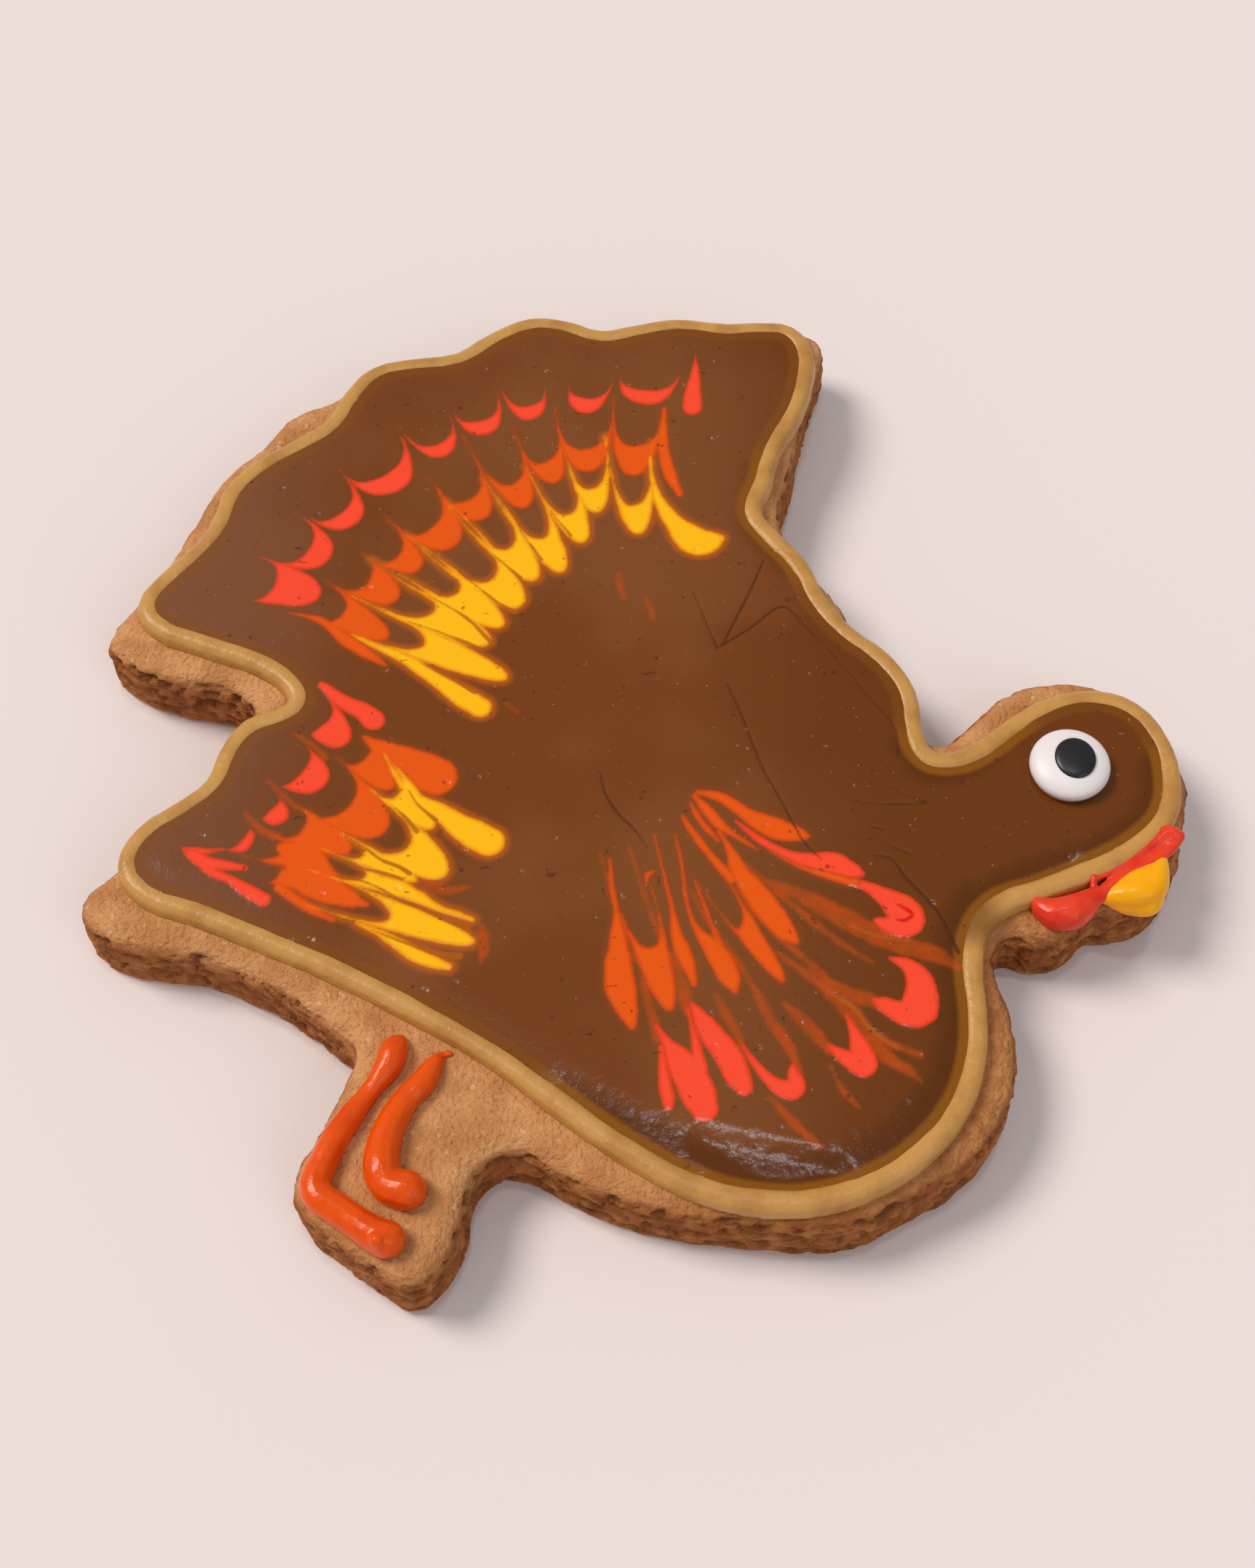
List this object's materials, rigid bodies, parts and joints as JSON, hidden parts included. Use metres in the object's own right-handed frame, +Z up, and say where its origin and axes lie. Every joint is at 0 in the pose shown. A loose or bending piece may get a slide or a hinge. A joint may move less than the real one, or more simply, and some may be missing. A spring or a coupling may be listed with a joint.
{
  "type": "iced sugar cookie",
  "caption": "Thick cut-out sugar cookie in a strutting turkey outline, with marbled flooded icing inside a piped border, piped legs, a beak, a wattle and a round sugar eye.",
  "frame": {"origin": "middle of the biscuit's plan box, on the flat underside that it lies on", "axes": "+Z up through the icing, +X towards the head, +Y towards the fanned tail"},
  "size_m": [0.1089, 0.1114, 0.0123],
  "materials": {
    "biscuit": "baked biscuit, matt and grainy",
    "icing_tan": "set icing, satin",
    "icing_brown": "set flood icing, satin, marbled with red, orange and yellow",
    "icing_orange": "set icing, semi-gloss",
    "icing_yellow": "set icing, semi-gloss",
    "icing_red": "set icing, semi-gloss",
    "sugar_white": "pressed sugar, smooth",
    "sugar_black": "pressed sugar, smooth"
  },
  "bodies": {
    "root": {"biscuit": "biscuit", "icing_border": "icing_tan", "flood_icing": "icing_brown", "leg_left": "icing_orange", "leg_right": "icing_orange", "beak": "icing_yellow", "snood": "icing_red", "eye_white": "sugar_white", "eye_pupil": "sugar_black"}
  },
  "joints": []
}
